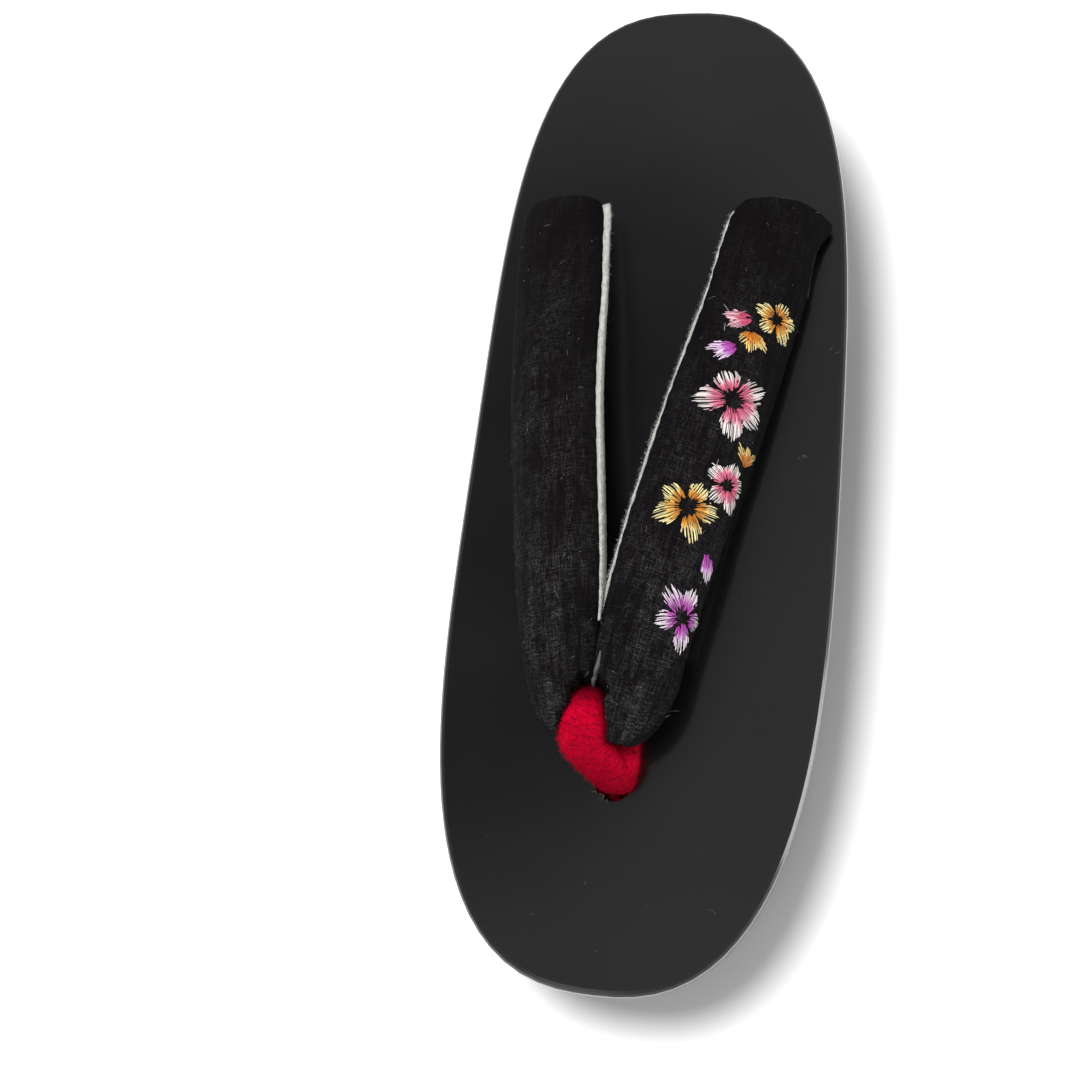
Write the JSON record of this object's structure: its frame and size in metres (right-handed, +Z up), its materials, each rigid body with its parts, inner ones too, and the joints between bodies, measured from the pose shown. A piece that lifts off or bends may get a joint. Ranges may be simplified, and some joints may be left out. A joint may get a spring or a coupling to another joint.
{
  "type": "geta sandal",
  "caption": "Low lacquered wooden geta sandal for the left foot, with a carved heel block, padded cotton straps with a blossom pattern, and a soft red thong between the toes.",
  "frame": {"origin": "on the floor, under the middle of the board's outline", "axes": "+Y from toe to heel, +X to the outer side of the left foot, +Z up"},
  "size_m": [0.0866, 0.237, 0.0551],
  "materials": {
    "lacquered_wood": "black lacquer rubbed to a satin sheen",
    "strap_cotton": "matte black plain-woven cotton over padding",
    "thong_velvet": "deep red pile fabric",
    "strap_lining": "off-white brushed lining under the straps",
    "embroidery_thread": "shiny twisted thread in pink, orange, yellow, lilac and white"
  },
  "bodies": {
    "root": {"sole": "lacquered_wood", "upper": "strap_cotton", "front_thong": "thong_velvet"}
  },
  "joints": []
}
